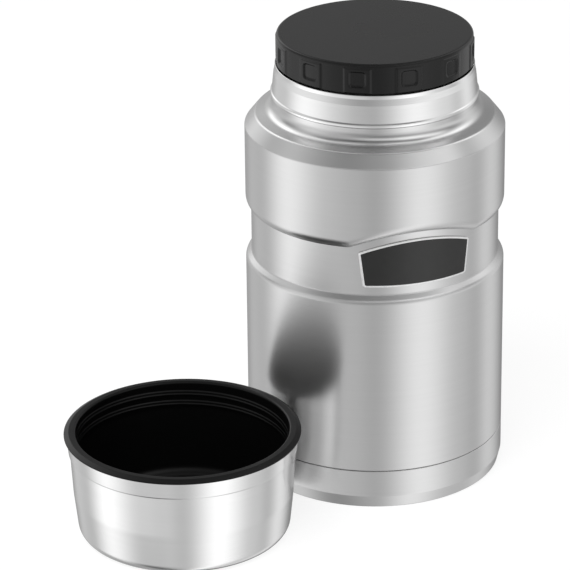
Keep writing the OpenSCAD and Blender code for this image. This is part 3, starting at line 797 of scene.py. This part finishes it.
bowl_outline = rounded([
    (0, 0, 0),
    (bowl_base_r, 0, bowl_foot),
    (bowl_half_r, z_bowl_collar / 2, bowl_belly),
    (bowl_top_r, z_bowl_collar - bowl_step, 0.25 * MM),
    (bowl_top_r + bowl_step, z_bowl_collar, 0.3 * MM),
    (bowl_collar_r, z_rim, 0),
    (bowl_collar_r - BOWL_WALL, z_rim, 0),
    (bowl_top_r + bowl_step - BOWL_WALL, z_bowl_collar, 0.3 * MM),
    (bowl_top_r - BOWL_WALL, z_bowl_collar - bowl_step, 0.3 * MM),
    (bowl_half_r - BOWL_WALL, z_bowl_collar / 2, bowl_belly),
    (bowl_base_r - BOWL_WALL, BOWL_WALL, bowl_foot - BOWL_WALL),
    (0, BOWL_WALL, 0),
], 8)
bowl_shell = turned("bowl_shell_skin", lambda azimuth: bowl_outline, even_turn(BOWL_COLUMNS))
bowl_shell.location = bowl_place
bowl_shell.data.materials.append(brushed_steel(
    "bowl_steel", shade=0.78, roughness=0.19, stretch=0.45, grain=0.008))
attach(bowl_shell, "bowl")
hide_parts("bowl_shell")

# --------------------------------------------------------------------------------------------------
# Bowl liner: glossy black plastic snapped into the steel bowl. Its flange covers the steel's edge,
# and the thread that goes down over the neck stands inside its mouth as two low turns.
# --------------------------------------------------------------------------------------------------
LINER_WALL = 1.4 * MM
liner_low_r = bowl_base_r - BOWL_WALL - 1.0 * MM
liner_foot = 5.0 * MM
liner_shoulder = 6.0 * MM
flange_corner = 1.0 * MM
z_liner_floor = BOWL_WALL + 1.5 * MM
z_mouth = z_bowl_collar - 4.0 * MM
bowl_thread_start = bowl_h - 11.7 * MM
bowl_thread_turns = 2.0
bowl_thread_lead = math.radians(20)

# The thread's section, in millimetres: how far below its top, and how far in from the wall. It has
# two sloping steps and a steep lower side. Its top lies a millimetre above the helix.
BOWL_THREAD_TOP = 1.0
BOWL_THREAD_FORM = [(0.0, 0.0), (0.45, 0.28), (1.25, 0.36), (1.7, 0.62), (1.95, 0.62), (2.2, 0.0)]


def liner_thread(azimuth, z):
    """How far the liner's thread stands in at this place."""
    height = 0.0
    for lap in range(math.ceil(bowl_thread_turns)):
        travelled = (azimuth + bowl_thread_lead) / (2 * math.pi) % 1 + lap
        fade = thread_fade(travelled, bowl_thread_turns)
        below = (bowl_thread_start + THREAD_PITCH * travelled - z) / MM + BOWL_THREAD_TOP
        for (top, shallow), (foot, deep) in zip(BOWL_THREAD_FORM, BOWL_THREAD_FORM[1:]):
            if top <= below < foot:
                slope = (deep - shallow) / (foot - top)
                height = fade * (shallow + slope * (below - top)) * MM
    return height


def liner_outline(azimuth):
    """The liner's section here, from its underside over the flange and down past the thread."""
    smooth = rounded([
        (0, z_liner_floor, 0),
        (liner_low_r, z_liner_floor, liner_foot),
        (bowl_mouth_r + LINER_WALL, z_mouth, liner_shoulder),
        (bowl_mouth_r + LINER_WALL, z_rim, 0),
        (bowl_r, z_rim, 0.1 * MM),
        (bowl_r, bowl_h - 1.0 * MM, 0.3 * MM),
        (bowl_r - 2.0 * MM, bowl_h, flange_corner),
        (bowl_mouth_r, bowl_h, flange_corner),
        (bowl_mouth_r, z_mouth, liner_shoulder),
        (liner_low_r - LINER_WALL, z_liner_floor + LINER_WALL, liner_foot),
        (0, z_liner_floor + LINER_WALL, 0),
    ], 8)
    flange_end = max(i for i, (r, z) in enumerate(smooth)
                     if abs(r - bowl_mouth_r) < ON_AXIS and z > z_rim - 2.0 * MM)
    rows = even_rows(bowl_h - 1.3 * MM, bowl_h - 12.0 * MM, 72)
    thread = [(bowl_mouth_r - liner_thread(azimuth, z), z) for z in rows]
    return smooth[:flange_end + 1] + thread + smooth[flange_end + 1:]


bowl_liner = turned("bowl_liner_skin", liner_outline, even_turn(THREADED_COLUMNS))
bowl_liner.location = bowl_place
bowl_liner.data.materials.append(moulded_plastic(
    "liner_plastic", shade=0.002, roughness=0.36, texture=0.02, scale=1500, specular=0.23))
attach(bowl_liner, "bowl")
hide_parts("bowl_liner")

# --------------------------------------------------------------------------------------------------
# Studio: a white floor that keeps a soft shadow, a room whose light cards stand round the jar, one
# large lamp, and the camera at the photograph's viewing angle.
# --------------------------------------------------------------------------------------------------
PAPER_SHADE = 0.9
GLOW_STRENGTH = 1.12
GLOW_SHARE = 0.72
floor_bm = bmesh.new()
bmesh.ops.create_grid(floor_bm, x_segments=8, y_segments=8, size=6.0)
floor = put_in_scene(floor_bm, "studio_floor")
floor_material, tree, output = new_material("white_floor")
paper = tree_node(tree, "ShaderNodeBsdfDiffuse", {"Color": (*(PAPER_SHADE,) * 3, 1)}).outputs[0]
glow = tree_node(tree, "ShaderNodeEmission", {
    "Color": (1, 1, 1, 1), "Strength": GLOW_STRENGTH}).outputs[0]
seen = tree_node(tree, "ShaderNodeLightPath").outputs["Is Camera Ray"]
share = math_node(tree, "MULTIPLY", seen, GLOW_SHARE)
mixed = tree_node(tree, "ShaderNodeMixShader", {0: share, 1: paper, 2: glow}).outputs[0]
tree.links.new(mixed, output.inputs[0])
floor.data.materials.append(floor_material)
floor.visible_glossy = False

# Brightness of the room by direction, in degrees from -Y towards +X: light cards over dark walls,
# in rings from the floor, past the horizon, up to the ceiling, each at its height in degrees.
# These strengths weren't all chosen by hand. The rings from -25 to 60 began as a least-squares fit
# of 78 strengths to the photograph's tones, made by another program, and were then simplified and
# changed. The rings at -60 and 75 were added.
RING_HEIGHTS = [-60, -25, 0, 20, 40, 60, 75]
ROOM_RINGS = [
    [(-180, 0.5), (-140, 0.35), (-110, 0.5), (-72, 0.1), (-18, 0.58), (23, 1.3), (66, 0.7),
     (100, 0.9), (144, 0.25), (180, 0.4)],
    [(-180, 0.4), (-160, 0.7), (-140, 0.65), (-104, 1.62), (-60, 0.99), (-38, 0.84), (-19, 0.62),
     (22, 1.41), (65, 0.71), (82, 0.5), (104, 0.95), (144, 0.25), (180, 0.4)],
    [(-180, 0.65), (-90, 0.9), (-34, 0.4), (36, 1.05), (96, 0.95), (140, 0.4), (180, 0.65)],
    [(-180, 0.8), (-166, 1.8), (-148, 0.9), (-132, 0.35), (-96, 1.0), (-60, 0.6), (-12, 0.2),
     (40, 0.5), (72, 0.3), (108, 1.0), (145, 0.35), (165, 0.38), (180, 0.8)],
    [(-180, 0.45), (-158, 2.1), (-125, 0.7), (-60, 0.6), (-12, 1.1), (25, 1.8), (60, 1.5),
     (80, 0.75), (108, 1.8), (136, 0.35), (160, 0.4), (180, 0.45)],
    [(-180, 0.05), (-136, 1.4), (-104, 0.2), (-40, 0.02), (60, 0.15), (94, 1.6), (136, 0.1),
     (180, 0.05)],
    [(-180, 0.4), (-112, 0.9), (-60, 0.5), (-20, 0.4), (20, 0.6), (70, 1.2), (125, 0.6),
     (180, 0.4)],
]
CARD_SCALE = 2.5
SOFT_LIGHT = 0.62


def ring_of_cards(tree, turn, ring):
    """The brightness of one ring at this heading, as a share of CARD_SCALE."""
    cards = tree_node(tree, "ShaderNodeValToRGB", {"Fac": turn})
    cards.color_ramp.interpolation = "EASE"
    for index, (direction, strength) in enumerate(ring):
        place = (direction + 180) / 360
        if index < 2:
            stop = cards.color_ramp.elements[index]
            stop.position = place
        else:
            stop = cards.color_ramp.elements.new(place)
        stop.color = (*(strength / CARD_SCALE,) * 3, 1)
    return cards.outputs[0]


def backdrop(tree, colour, strength):
    """Light of one colour or of a linked one, from all sides."""
    return tree_node(tree, "ShaderNodeBackground", {
        "Color": colour, "Strength": strength}).outputs[0]


room = bpy.data.worlds.new("studio_room")
bpy.context.scene.world = room
room.use_nodes = True
tree = room.node_tree
tree.nodes.clear()
direction = tree_node(tree, "ShaderNodeTexCoord").outputs["Generated"]
heading = tree_node(tree, "ShaderNodeSeparateXYZ", {0: direction})
forward = math_node(tree, "MULTIPLY", heading.outputs["Y"], -1.0)
angle = math_node(tree, "ARCTAN2", heading.outputs["X"], forward)
turn = tree_node(tree, "ShaderNodeMapRange", {
    "Value": angle, "From Min": -math.pi, "From Max": math.pi,
    "To Min": 0.0, "To Max": 1.0}).outputs[0]
rise = math_node(tree, "ARCSINE", heading.outputs["Z"])
lit = ring_of_cards(tree, turn, ROOM_RINGS[0])
for below, level, ring in zip(RING_HEIGHTS, RING_HEIGHTS[1:], ROOM_RINGS[1:]):
    cards = ring_of_cards(tree, turn, ring)
    share = tree_node(tree, "ShaderNodeMapRange", {
        "Value": rise, "From Min": math.radians(below), "From Max": math.radians(level)}).outputs[0]
    lit = tree_node(tree, "ShaderNodeMix", {
        0: share, 6: lit, 7: cards}, data_type="RGBA").outputs[2]
card_light = backdrop(tree, lit, CARD_SCALE)
plain_light = backdrop(tree, (1, 1, 1, 1), SOFT_LIGHT)
white = backdrop(tree, (1, 1, 1, 1), 1.0)
rays = tree_node(tree, "ShaderNodeLightPath").outputs
mirrored = tree_node(tree, "ShaderNodeMixShader", {
    0: rays["Is Glossy Ray"], 1: plain_light, 2: card_light}).outputs[0]
shown = tree_node(tree, "ShaderNodeMixShader", {
    0: rays["Is Camera Ray"], 1: mirrored, 2: white}).outputs[0]
tree_node(tree, "ShaderNodeOutputWorld", {0: shown})

lamp_data = bpy.data.lights.new("key_softbox", "AREA")
lamp_data.shape = "RECTANGLE"
lamp_data.size = 0.9
lamp_data.size_y = 0.7
lamp_data.energy = 9.0
lamp = bpy.data.objects.new("key_softbox", lamp_data)
lamp.location = (-0.55, -0.5, 1.1)
lamp_aim = Vector((0, 0, 0.08))
lamp.rotation_euler = (lamp_aim - lamp.location).to_track_quat("-Z", "Y").to_euler()
lamp.visible_glossy = False
bpy.context.collection.objects.link(lamp)

# The camera's place, aim, roll and lens were fitted to the photographed ellipses of the rims, the
# band, the seam and the foot.
camera_data = bpy.data.cameras.new("camera")
camera_data.lens = 223.0
camera_data.sensor_width = 36.0
camera_data.clip_start = 0.05
camera_data.clip_end = 30.0
camera = bpy.data.objects.new("camera", camera_data)
camera.location = (-0.4667, -1.2822, 0.6822)
aim = Vector((-0.03563, 0.01297, 0.07795))
roll = math.radians(-0.638)
look = (aim - camera.location).to_track_quat("-Z", "Y")
camera.rotation_euler = look.to_euler()
camera.rotation_euler.rotate_axis("Z", roll)
bpy.context.collection.objects.link(camera)
bpy.context.scene.camera = camera
bpy.context.scene.view_settings.view_transform = "Standard"
